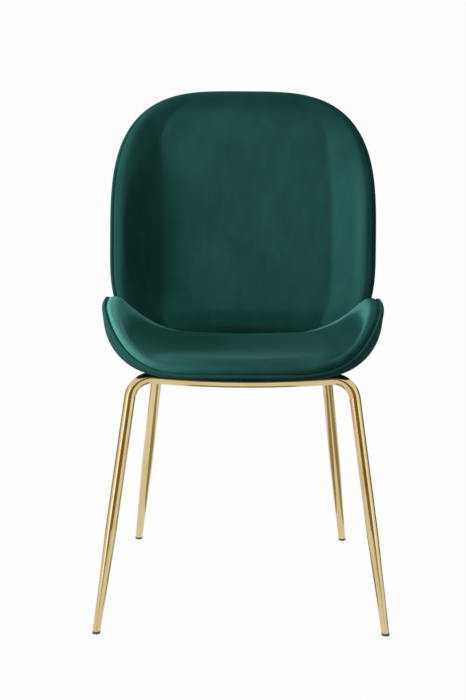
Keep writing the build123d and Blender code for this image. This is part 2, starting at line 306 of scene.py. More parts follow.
def new_material(name: str) -> tuple[bpy.types.Material, Graph]:
    """Make an empty material.

    Args:
        name: Name of the material.

    Returns:
        The material and the graph to fill.
    """
    made = bpy.data.materials.new(name)
    made.use_nodes = True
    return made, Graph(made.node_tree)


@dataclass(frozen=True)
class Finish:
    """A surface finish that makes its own material."""

    name: str
    slot: Slot

    def sockets(self, graph: Graph) -> dict:
        """Inputs of the finish's shader; each finish gives its own.

        Args:
            graph: Graph of the material.

        Returns:
            Values and links by input name.
        """
        raise NotImplementedError

    def material(self) -> bpy.types.Material:
        """Material of the finish, made once.

        Returns:
            The material.
        """
        if self.name in bpy.data.materials:
            return bpy.data.materials[self.name]
        made, graph = new_material(self.name)
        shader = graph.node("ShaderNodeBsdfPrincipled", {}, self.sockets(graph))
        graph.node("ShaderNodeOutputMaterial", {}, {"Surface": shader})
        return made


@dataclass(frozen=True)
class Velvet(Finish):
    """Short-pile velvet: drifting tone, brush marks, a fine pile, and painted light and shade.

    Attributes:
        deep: Darkest colour of the laid pile.
        mid: Its middle colour.
        lifted: Its lightest colour.
        opened: Colour where the pile stands open on rolled edges, also used to paint light.
        closed: Colour where the pile lies flat, also used to paint shade.
        drift_scale: Broad changes of tone per metre.
        brush_scale: Brush marks per metre along each axis.
        pile_scale: Tufts per metre.
        rough: Lowest and highest roughness.
        relief: Depth of the pile in millimetres.
        specular: Strength of plain gloss.
        sheen: Strength of the sheen.
        sheen_rough: Width of the sheen.
        sheen_tint: Colour of the sheen.
    """

    deep: Colour = (0.007, 0.036, 0.031)
    mid: Colour = (0.0105, 0.053, 0.046)
    lifted: Colour = (0.0155, 0.074, 0.064)
    opened: Colour = (0.075, 0.27, 0.235)
    closed: Colour = (0.002, 0.012, 0.01)
    drift_scale: float = 7.0
    brush_scale: Point = (60.0, 60.0, 16.0)
    pile_scale: float = 1500.0
    rough: Pair = (0.72, 0.9)
    relief: float = 0.25
    specular: float = 0.03
    sheen: float = 0.05
    sheen_rough: float = 0.15
    sheen_tint: Colour = (0.42, 0.86, 0.76)

    def sockets(self, graph: Graph) -> dict:
        """Inputs of the velvet's shader.

        Args:
            graph: Graph of the material.

        Returns:
            Values and links by input name.
        """
        drift = graph.noise(self.drift_scale, detail=3.0, rough=0.55, warp=0.6)
        brush = graph.stretched(self.brush_scale)
        pile = graph.noise(self.pile_scale, detail=1.0)
        tone = 0.5 * drift + 0.25 * brush + 0.25 * pile
        laid = graph.ramp(tone, [(0.24, self.deep), (0.5, self.mid), (0.76, self.lifted)])
        # Pile value above 0 lightens, below 0 darkens: open pile plus painted light and shade.
        nap = graph.node("ShaderNodeAttribute", {"attribute_name": NAP_AND_SHADING}, output="Fac")
        lighter = graph.blend(nap.largest(0.0), laid, (*self.opened, 1.0))
        colour = graph.blend((0.0 - nap).largest(0.0), lighter, (*self.closed, 1.0))
        return {
            "Base Color": colour,
            "Roughness": graph.spread(brush, *self.rough),
            "Normal": graph.bump(pile + 0.6 * brush, self.relief * MM, 0.5),
            "Specular IOR Level": self.specular,
            "Sheen Weight": self.sheen,
            "Sheen Roughness": self.sheen_rough,
            "Sheen Tint": (*self.sheen_tint, 1.0),
        }


@dataclass(frozen=True)
class PolishedBrass(Finish):
    """Polished brass-coloured plating with faint smears and a slightly uneven surface.

    Attributes:
        pale: Lighter colour of the plating.
        warm: Darker colour of the plating.
        cloud_scale: Broad changes of tone and level per metre.
        smear_scale: Smears per metre.
        grain_scale: Fine marks per metre.
        rough: Lowest and highest roughness.
        relief: Depth of the unevenness in millimetres.
    """

    pale: Colour = (0.68, 0.57, 0.31)
    warm: Colour = (0.62, 0.49, 0.24)
    cloud_scale: float = 14.0
    smear_scale: float = 90.0
    grain_scale: float = 700.0
    rough: Pair = (0.1, 0.17)
    relief: float = 0.1

    def sockets(self, graph: Graph) -> dict:
        """Inputs of the plating's shader.

        Args:
            graph: Graph of the material.

        Returns:
            Values and links by input name.
        """
        cloud = graph.noise(self.cloud_scale, detail=3.0, rough=0.6)
        smear = graph.noise(self.smear_scale, detail=4.0, rough=0.65)
        grain = graph.noise(self.grain_scale)
        return {
            "Base Color": graph.ramp(cloud, [(0.3, self.warm), (0.7, self.pale)]),
            "Metallic": 1.0,
            "Roughness": graph.spread(0.7 * smear + 0.3 * grain, *self.rough),
            "Normal": graph.bump(cloud, self.relief * MM, 0.3),
        }


@dataclass(frozen=True)
class Grained(Finish):
    """Moulded, coated or raw surface with a fine grain and slight colour drift.

    Attributes:
        dark: Darker colour.
        light: Lighter colour.
        rough: Lowest and highest roughness.
        grain_scale: Grains per metre.
        relief: Depth of the grain in millimetres.
        metallic: 1 for bare metal and 0 for the rest.
        drift_scale: Broad changes of tone per metre.
    """

    dark: Colour
    light: Colour
    rough: Pair = (0.5, 0.65)
    grain_scale: float = 900.0
    relief: float = 0.12
    metallic: float = 0.0
    drift_scale: float = 25.0

    def sockets(self, graph: Graph) -> dict:
        """Inputs of the grained surface's shader.

        Args:
            graph: Graph of the material.

        Returns:
            Values and links by input name.
        """
        drift = graph.noise(self.drift_scale, detail=3.0)
        grain = graph.noise(self.grain_scale)
        tone = 0.6 * drift + 0.4 * grain
        return {
            "Base Color": graph.ramp(tone, [(0.35, self.dark), (0.65, self.light)]),
            "Metallic": self.metallic,
            "Roughness": graph.spread(drift, *self.rough),
            "Normal": graph.bump(grain, self.relief * MM, 0.6),
        }


@dataclass(frozen=True)
class Section:
    """Half cross-sections of a dish, one for each point: a shallow middle, a bend and a flange."""

    middle_radius: np.ndarray
    middle_length: np.ndarray
    bend_radius: np.ndarray
    bend_length: np.ndarray
    flange_length: np.ndarray

    @classmethod
    def fitted(cls, end: np.ndarray, middle: np.ndarray, bend_share: float) -> "Section":
        """Sections through given places.

        Args:
            end: Widths and rises at the end of the flange, in two rows.
            middle: Widths and rises at the end of the shallow middle, in two rows.
            bend_share: Radius of the bend, as a share of the largest that fits.

        Returns:
            The sections.
        """
        flat, sag = middle
        out, up = end - middle
        middle_radius = (flat**2 + sag**2) / (2 * sag)
        angle = 2 * np.arctan(sag / flat)
        run = out * np.cos(angle) + up * np.sin(angle)
        lift = up * np.cos(angle) - out * np.sin(angle)
        bend_radius = bend_share * (run**2 + lift**2) / (2 * lift)
        far = np.hypot(run, lift - bend_radius)
        turn = np.arctan2(lift - bend_radius, run) + np.pi / 2 - np.arccos(bend_radius / far)
        middle_length, bend_length = middle_radius * angle, bend_radius * turn
        flange_length = np.sqrt(far**2 - bend_radius**2)
        return cls(middle_radius, middle_length, bend_radius, bend_length, flange_length)

    @property
    def length(self) -> np.ndarray:
        """Length along each section."""
        return self.middle_length + self.bend_length + self.flange_length

    def at(self, along: np.ndarray, depth: np.ndarray) -> tuple[np.ndarray, np.ndarray]:
        """Places on the sections.

        Args:
            along: Distance of each place from the middle, along its section.
            depth: Its distance inward from the section.

        Returns:
            Distances across and heights.
        """
        middle = np.minimum(along, self.middle_length)
        bend = np.minimum(along - middle, self.bend_length)
        flange = along - middle - bend
        lean = middle / self.middle_radius
        slope = lean + bend / self.bend_radius
        across = self.middle_radius * np.sin(lean)
        across += self.bend_radius * (np.sin(slope) - np.sin(lean))
        across += flange * np.cos(slope) - depth * np.sin(slope)
        height = self.middle_radius * (1 - np.cos(lean))
        height += self.bend_radius * (np.cos(lean) - np.cos(slope))
        height += flange * np.sin(slope) + depth * np.cos(slope)
        return across, height


@dataclass(frozen=True)
class DishForm:
    """Bowl-shaped surface of rows set square to a curved spine, in millimetres.

    A pair gives the values of the first and the last part, before and after the widest row.

    Attributes:
        spine: Control points of the spine, as y and z.
        half_width: Half width of the widest row.
        widest: Distance of the widest row along the spine.
        rise: Rise of the widest row at its ends.
        powers: Squareness of the outline.
        fades: How fast the rise fades towards the ends.
        flat_shares: Share of the width that the shallow middle takes, at the two ends.
        sag_share: Share of the rise that the shallow middle takes.
        bend_share: Radius of the bend, as a share of the largest that fits.
    """

    spine: tuple[Pair, Pair, Pair, Pair]
    half_width: float
    widest: float
    rise: float
    powers: Pair
    fades: Pair
    flat_shares: Pair
    sag_share: float
    bend_share: float

    @cached_property
    def _line(self) -> tuple[np.ndarray, np.ndarray, np.ndarray]:
        """Sampled spine.

        Returns:
            Lengths, points and directions along the spine.
        """
        share = np.linspace(0.0, 1.0, SPINE_SAMPLES)[:, None]
        a, b, c, d = (np.array(point, float) for point in self.spine)
        rest = 1.0 - share
        points = a * rest**3 + 3 * b * rest**2 * share + 3 * c * rest * share**2 + d * share**3
        slopes = (b - a) * rest**2 + 2 * (c - b) * rest * share + (d - c) * share**2
        slopes /= np.linalg.norm(slopes, axis=1)[:, None]
        steps = np.linalg.norm(np.diff(points, axis=0), axis=1)
        return np.concatenate([[0.0], np.cumsum(steps)]), points, slopes

    @property
    def length(self) -> float:
        """Length of the spine."""
        return float(self._line[0][-1])

    def place(self, x: np.ndarray, y: np.ndarray, depth: np.ndarray, inset: float) -> np.ndarray:
        """Points of a sheet on the dish.

        Args:
            x: Shares of the half width across, on the sheet's outline 1 at the widest place.
            y: Shares of the length along, -1 at the first end and 1 at the last.
            depth: Distance inward from the dish.
            inset: How far the outline is drawn in.

        Returns:
            Points in metres, one row each.
        """
        first = y < 0
        power = np.where(first, *self.powers)
        full = np.where(first, self.widest, self.length - self.widest)
        offset = (full - inset) * np.abs(y)
        fullness = 1 - np.minimum(offset / full, LAST_ROW) ** power
        width = self.half_width * fullness ** (1 / power)
        rise = self.rise * fullness ** np.where(first, *self.fades)
        along_share = 0.5 + np.where(first, -0.5, 0.5) * np.minimum(offset / full, 1.0)
        start, end = self.flat_shares
        flat = (start + (end - start) * along_share) * width
        section = Section.fitted(
            np.stack([width, rise]), np.stack([flat, self.sag_share * rise]), self.bend_share
        )
        along = np.abs(x) * (self.half_width - inset) * section.length / width
        across, height = section.at(along, depth)
        lengths, points, slopes = self._line
        station = np.where(first, self.widest - offset, self.widest + offset)
        base_y, base_z = (np.interp(station, lengths, points[:, axis]) for axis in (0, 1))
        slope_y, slope_z = (np.interp(station, lengths, slopes[:, axis]) for axis in (0, 1))
        placed = (np.sign(x) * across, base_y - height * slope_z, base_z + height * slope_y)
        return np.stack(placed, axis=-1) * MM


@dataclass(frozen=True)
class Outline:
    """Outline of a sheet on a dish.

    Attributes:
        inset: How far it is drawn in from the dish's outline, in millimetres.
        powers: Squareness of its first and last part.
        cut: Distance along the spine at which its first end is cut straight, or 0.
        corner: Length over which the corners of the cut are eased, as a share.
    """

    inset: float
    powers: Pair
    cut: float = 0.0
    corner: float = 0.03

    def _cut_off(self, y: np.ndarray, dish: DishForm) -> np.ndarray:
        """Cut the first end straight across, with eased corners.

        Args:
            y: Places along on the whole outline.
            dish: Dish that carries the sheet.

        Returns:
            Places along on the cut outline.
        """
        start = (dish.widest - self.cut) / (dish.widest - self.inset) - self.corner
        past = np.clip(-y - start, 0.0, 2 * self.corner)
        return np.where(-y > start, past**2 / (4 * self.corner) - past - start, y)

    def unit(self, a: np.ndarray, b: np.ndarray, dish: DishForm) -> tuple[np.ndarray, np.ndarray]:
        """Where places on the edge of a square come to lie on the outline, evenly spaced.

        Args:
            a: Places across, one of the two always 1 or -1.
            b: Places along.
            dish: Dish that carries the sheet.

        Returns:
            Shares across and along on the outline.
        """
        x, y = np.zeros_like(a), np.zeros_like(b)
        for first, power in zip((True, False), self.powers):
            full = dish.widest if first else dish.length - dish.widest
            near = np.linspace(0.0, 0.5 ** (1 / power), OUTLINE_SAMPLES)
            far = (1 - near**power) ** (1 / power)
            half = (b < 0) == first
            for across in (True, False):
                side = half & ((np.abs(a) >= np.abs(b)) == across)
                places = np.abs(b[side] if across else a[side])
                scale = (full, dish.half_width) if across else (dish.half_width, full)
                steps = np.hypot(np.diff(near) * scale[0], np.diff(far) * scale[1])
                lengths = np.concatenate([[0.0], np.cumsum(steps)])
                small = np.interp(places * lengths[-1], lengths, near)
                large = np.interp(places * lengths[-1], lengths, far)
                x[side] = (large if across else small) * np.sign(a[side])
                y[side] = (small if across else large) * np.sign(b[side])
        return x, (self._cut_off(y, dish) if self.cut else y)


def level(depth: float) -> Depth:
    """The same depth everywhere."""
    return lambda share: depth * np.ones_like(share)


@dataclass
class Sheet:
    """Closed sheet on a dish: two faces of square grids joined by loops round the rim."""

    dish: DishForm
    outline: Outline
    rings: int = 44
    points: list[np.ndarray] = field(default_factory=list)
    faces: list[list[int]] = field(default_factory=list)
    nap_and_shading_values: list[np.ndarray] = field(default_factory=list)
    count: int = 0

    def _lay(
        self,
        square: tuple[np.ndarray, np.ndarray],
        share: np.ndarray,
        extra: float,
        depth: Depth,
        nap: Optional[NapAndShading],
    ) -> np.ndarray:
        """Lay points on the dish.

        Args:
            square: Places across and along on the edge of a square.
            share: Nearness of each point to the outline.
            extra: How much further than the outline they are drawn in.
            depth: Depth by nearness to the outline.
            nap: Pile value, with its painted light and shade, by nearness to the outline and place
                on it.

        Returns:
            Their numbers in the mesh.
        """
        x, y = self.outline.unit(*square, self.dish)
        inset = self.outline.inset + extra
        self.points.append(self.dish.place(x * share, y * share, depth(share), inset))
        self.nap_and_shading_values.append(nap(share, x, y) if nap else np.zeros_like(share))
        numbers = np.arange(self.count, self.count + len(share))
        self.count += len(share)
        return numbers

    def face(
        self,
        depth: Depth,
        extra: float,
        crowding: float,
        upward: bool,
        nap: Optional[NapAndShading] = None,
    ) -> np.ndarray:
        """Add one face of the sheet.

        Args:
            depth: Depth by nearness to the outline.
            extra: How much further than the outline the face is drawn in.
            crowding: Crowding of the rings towards the edge; 1 spaces them evenly.
            upward: Whether the face looks inward, to the padded side.
            nap: Pile value, above 0 for open pile and painted light,
                below 0 for flat pile and painted shade.

        Returns:
            Numbers of the points along its edge.
        """
        size = 2 * self.rings + 1
        places = np.arange(size) - self.rings
        a, b = (grid.ravel().astype(float) for grid in np.meshgrid(places, places, indexing="ij"))
        ring = np.maximum(np.maximum(np.abs(a), np.abs(b)), TINY)
        share = 1 - (1 - np.minimum(ring / self.rings, 1.0)) ** crowding
        numbers = self._lay((a / ring, b / ring), share, extra, depth, nap).reshape(size, size)
        corners = [numbers[:-1, :-1], numbers[1:, :-1], numbers[1:, 1:], numbers[:-1, 1:]]
        quads = np.stack(corners if upward else corners[::-1], axis=-1)
        self.faces += quads.reshape(-1, 4).tolist()
        return np.concatenate(
            [numbers[-1, :-1], numbers[:0:-1, -1], numbers[0, :0:-1], numbers[:-1, 0]]
        )

    def rim(self, extra: float, depth: float, nap: Optional[NapAndShading] = None) -> np.ndarray:
        """Add a loop round the rim.

        Args:
            extra: How much further than the outline it is drawn in.
            depth: Its depth.
            nap: Pile value, as for a face.

        Returns:
            Numbers of its points, in the order of a face's edge.
        """
        along = np.arange(-self.rings, self.rings) / self.rings
        one = np.ones_like(along)
        a = np.concatenate([one, -along, -one, along])
        b = np.concatenate([along, one, -along, -one])
        return self._lay((a, b), np.ones_like(a), extra, level(depth), nap)

    def join(self, upper: np.ndarray, lower: np.ndarray) -> None:
        """Close the gap between two loops.

        Args:
            upper: Loop nearer to the face that looks inward.
            lower: Loop nearer to the other face.
        """
        quads = np.stack([upper, lower, np.roll(lower, -1), np.roll(upper, -1)], axis=-1)
        self.faces += quads.tolist()

    def piece(self, name: str) -> bpy.types.Object:
        """Object of the finished sheet.

        Args:
            name: Name of the piece.

        Returns:
            The piece, smooth shaded.
        """
        mesh = bpy.data.meshes.new(name)
        mesh.from_pydata(np.concatenate(self.points).tolist(), [], self.faces)
        mesh.polygons.foreach_set("use_smooth", [True] * len(mesh.polygons))
        # Store the pile value, which also holds painted light and shade.
        stored = mesh.attributes.new(NAP_AND_SHADING, "FLOAT", "POINT")
        stored.data.foreach_set("value", np.concatenate(self.nap_and_shading_values))
        mesh.update()
        return add_object(name, mesh)


@dataclass(frozen=True)
class Swelling:
    """Short cloth simulation that fills a pad.

    Attributes:
        pressure: Pressure inside the pad.
        bending: Stiffness against bending.
        mass: Mass of each point.
        quality: Steps of the simulation for each frame.
        frames: Frames that are run.
        cap: Furthest move of a point, in millimetres.
        evening: How often the moves of neighbours are evened out.
    """

    pressure: float = 3.0
    bending: float = 8.0
    mass: float = 0.3
    quality: int = 5
    frames: int = 20
    cap: float = 3.0
    evening: int = 60

    def fill(self, pad: bpy.types.Object, held: np.ndarray) -> None:
        """Swell a pad and keep the result in its mesh.

        Args:
            pad: Pad to swell.
            held: Numbers of the points that stay in place.
        """
        mesh = pad.data
        start = np.empty(len(mesh.vertices) * 3)
        mesh.vertices.foreach_get("co", start)
        group = pad.vertex_groups.new(name="held")
        group.add(held.tolist(), 1.0, "REPLACE")
        cloth = pad.modifiers.new("fill", "CLOTH")
        cloth.settings.quality = self.quality
        cloth.settings.mass = self.mass
        cloth.settings.bending_stiffness = self.bending
        cloth.settings.vertex_group_mass = group.name
        cloth.settings.use_pressure = True
        cloth.settings.uniform_pressure_force = self.pressure
        cloth.settings.effector_weights.gravity = 0.0
        cloth.collision_settings.use_collision = False
        cloth.point_cache.frame_start = 1
        cloth.point_cache.frame_end = self.frames
        scene = bpy.context.scene
        for number in range(1, self.frames + 1):
            scene.frame_set(number)
        swollen = pad.evaluated_get(bpy.context.evaluated_depsgraph_get()).to_mesh()
        end = np.empty_like(start)
        swollen.vertices.foreach_get("co", end)
        move = self._evened(mesh, (end - start).reshape(-1, 3), held)
        size = np.linalg.norm(move, axis=1, keepdims=True)
        move *= np.minimum(1.0, self.cap * MM / np.maximum(size, TINY))
        pad.modifiers.remove(cloth)
        pad.vertex_groups.remove(group)
        mesh.vertices.foreach_set("co", start + move.ravel())
        mesh.update()
        scene.frame_set(1)

    def _evened(self, mesh: bpy.types.Mesh, move: np.ndarray, held: np.ndarray) -> np.ndarray:
        """Even out the moves of neighbouring points, as foam under the velvet does.

        Args:
            mesh: Mesh of the pad.
            move: Move of each point.
            held: Numbers of the points that stay in place.

        Returns:
            The evened moves.
        """
        ends = np.empty(len(mesh.edges) * 2, int)
        mesh.edges.foreach_get("vertices", ends)
        first, second = ends.reshape(-1, 2).T
        count = np.bincount(ends, minlength=len(move))[:, None]
        for _ in range(self.evening):
            total = np.zeros_like(move)
            np.add.at(total, first, move[second])
            np.add.at(total, second, move[first])
            move = 0.5 * move + 0.5 * total / count
            move[held] = 0.0
        return move


@dataclass
class PaddedShell:
    """A moulded shell with a velvet cover outside and a velvet pad inside, in millimetres.

    Depths are measured inward from the dish. A loop or face is given by how far it is drawn in
    from the outline, and its depth. The pile value stands the pile open above 0 and lays it flat
    below 0. On the pad's top it also paints light and shade: lighter where light falls, darker
    where shade falls.

    Attributes:
        name: Name with which the names of the pieces begin.
        dish: Dish that carries all layers.
        cover_node: Solid that the cover stands for.
        pad_nodes: Solids that the pad stands for.
        crown: Height of the filled pad over its edge.
        edge: Squareness of the crown towards its edge.
        pad_cut: Distance along the spine at which the pad is cut straight, or 0.
        pad_inset: How far the pad's outline is drawn in from the dish's.
        pad_top: Edge of the pad's top.
        pad_skirt: Loops from there round to the underside.
        pad_under: Underside of the pad.
        roll: Where the rolled edge begins, crests and ends, by nearness to the outline.
        roll_shift: How much further in it lies at the sides.
        last_roll: How wide it is inside its crest at the last end, as a share.
        roll_nap_and_shading: Pile value on its crest on the left, on the right, at the first and
            at the last
        end: partly the pile standing open on the roll, partly painted light and shade.
        painted_top_shading: Painted light and shade over the whole top, at the places of
            painted_top_shading_at.
        painted_top_shading_at: Places across, -1 on the left and 1 on the right.
        cover_out: Depth of the cover's outside.
        cover_front: Depth of the front of its rolled rim.
        cover_turn: First and last angle of the rolled rim, in degrees.
        cover_loops: Loops of the rolled rim.
        cover_hem: Loops from the rolled rim back to the inside.
        cover_in: Inside of the cover.
        swelling: How the pad is filled.
    """

    name: str
    dish: DishForm
    cover_node: str
    pad_nodes: tuple[str, ...]
    crown: float
    edge: float
    pad_cut: float = 0.0
    pad_inset: float = 1.5
    pad_top: Pair = (1.0, 9.3)
    pad_skirt: tuple[Pair, ...] = (
        (0.2, 7.6),
        (0.0, 5.4),
        (0.2, 3.2),
        (0.7, 1.4),
        (1.3, 0.2),
        (2.1, -0.1),
        (2.4, 3.2),
    )
    pad_under: Pair = (2.7, 3.4)
    roll: tuple[float, float, float] = (0.86, 0.96, 1.06)
    roll_shift: float = 0.0
    last_roll: float = 1.0
    roll_nap_and_shading: tuple[float, float, float, float] = (0.0, 0.0, 0.0, 0.0)
    painted_top_shading: tuple[float, float, float] = (0.0, 0.0, 0.0)
    painted_top_shading_at: tuple[float, float, float] = (-1.0, 0.5, 1.0)
    cover_out: float = -8.3
    cover_front: float = 0.0
    cover_turn: Pair = (-75.0, 90.0)
    cover_loops: int = 9
    cover_hem: tuple[Pair, ...] = ((6.6, 0.1), (6.6, -0.2), (2.2, -0.3), (2.2, -6.2))
    cover_in: Pair = (3.2, -6.2)
    swelling: Swelling = Swelling()

    def _crown(self, share: np.ndarray) -> np.ndarray:
        """Depth of the pad's top before it is filled.

        Args:
            share: Nearness to the outline.

        Returns:
            Depths.
        """
        height = self.crown - self.swelling.cap
        return self.pad_top[1] + height * np.sqrt(np.maximum(1 - share**self.edge, 0.0))

    def _nap_and_shading(self, share: np.ndarray, x: np.ndarray, y: np.ndarray) -> np.ndarray:
        """Pile value on the pad's top: painted light and shade across it, and on its rolled edge
        open pile together with painted light and shade.

        Args:
            share: Nearness to the outline.
            x: Place across on the outline, -1 on the left and 1 on the right.
            y: Place along on the outline, -1 at the first end and 1 at the last.

        Returns:
            Above 0 where the pile stands open and light is painted, below 0 where it lies flat and
            shade is painted.
        """
        low, crest, high = self.roll
        left, right, first, last = self.roll_nap_and_shading
        side = x**4
        nearness = share + self.roll_shift * x**2
        width = (crest - low) * np.where(y < 0, 1.0, side + self.last_roll * (1 - side))
        rising = np.clip(1 + (nearness - crest) / width, 0.0, 1.0)
        falling = np.clip((high - nearness) / (high - crest), 0.0, 1.0)
        # Strength on the roll's crest: open pile plus painted light and shade, set for each side
        # and end.
        strength = np.where(x < 0, left, right) * side + np.where(y < 0, first, last) * (1 - side)
        # Painted light and shade across the top, from the values at the places across.
        painted_top_shading = np.interp(x * share, self.painted_top_shading_at, self.painted_top_shading)
        return painted_top_shading + strength * np.sin(0.5 * np.pi * np.minimum(rising, falling)) ** 2

    def build_pad(self) -> bpy.types.Object:
        """Crowned pad, filled by simulation.

        Returns:
            The pad.
        """
        sheet = Sheet(self.dish, Outline(self.pad_inset, self.dish.powers, self.pad_cut))
        top = sheet.face(
            self._crown, self.pad_top[0], crowding=1.35, upward=True, nap=self._nap_and_shading
        )
        top_count = sheet.count
        loops = [top, *(sheet.rim(extra, depth, self._nap_and_shading) for extra, depth in self.pad_skirt)]
        extra, depth = self.pad_under
        loops.append(sheet.face(level(depth), extra, crowding=1.0, upward=False))
        for upper, lower in zip(loops, loops[1:]):
            sheet.join(upper, lower)
        pad = sheet.piece(f"{self.name}_pad")
        held = np.concatenate([top, np.arange(top_count, sheet.count)])
        self.swelling.fill(pad, held)
        smooth = pad.modifiers.new("smooth", "SUBSURF")
        smooth.levels = smooth.render_levels = 1
        return pad

    def build_cover(self) -> bpy.types.Object:
        """Outer cover, rolled over the rim of the shell.

        Returns:
            The cover.
        """
        sheet = Sheet(self.dish, Outline(0.0, self.dish.powers))
        radius = (self.cover_front - self.cover_out) / 2
        loops = [sheet.face(level(self.cover_out), radius, crowding=1.2, upward=False)]
        for angle in np.linspace(*self.cover_turn, self.cover_loops):
            turn = math.radians(angle)
            extra = radius * (1 - math.cos(turn))
            loops.append(sheet.rim(extra, self.cover_out + radius * (1 + math.sin(turn))))
        loops += [sheet.rim(extra, depth) for extra, depth in self.cover_hem]
        extra, depth = self.cover_in
        loops.append(sheet.face(level(depth), extra, crowding=1.0, upward=True))
        for lower, upper in zip(loops, loops[1:]):
            sheet.join(upper, lower)
        return sheet.piece(f"{self.name}_cover")

    def build(self, velvet: Finish) -> list[bpy.types.Object]:
        """Build and dress the soft pieces.

        Args:
            velvet: Finish of both pieces.

        Returns:
            The pieces.
        """
        pad, cover = self.build_pad(), self.build_cover()
        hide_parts(*self.pad_nodes)
        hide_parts(self.cover_node)
        for piece in (pad, cover):
            piece.data.materials.append(velvet.material())
            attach(piece, BODY)
        return [pad, cover]


@dataclass
class CadPieces:
    """Rigid pieces that keep their solids and take a finish."""

    finish: Finish
    nodes: tuple[str, ...]

    def dress(self) -> list[bpy.types.Object]:
        """Give the pieces their finish.

        Returns:
            The pieces.
        """
        pieces = [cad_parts[name] for name in self.nodes]
        for piece in pieces:
            piece.data.materials.clear()
            piece.data.materials.append(self.finish.material())
        return pieces


@dataclass(frozen=True)
class Lamp:
    """Square soft lamp aimed at the chair, in metres and watts."""

    name: str
    at: Point
    size: float
    power: float


@dataclass(frozen=True)
class Card:
    """Card near the chair, in metres, with the colour that it shows in the brass."""

    name: str
    corner: Point
    along: Point
    across: Point
    colour: Colour


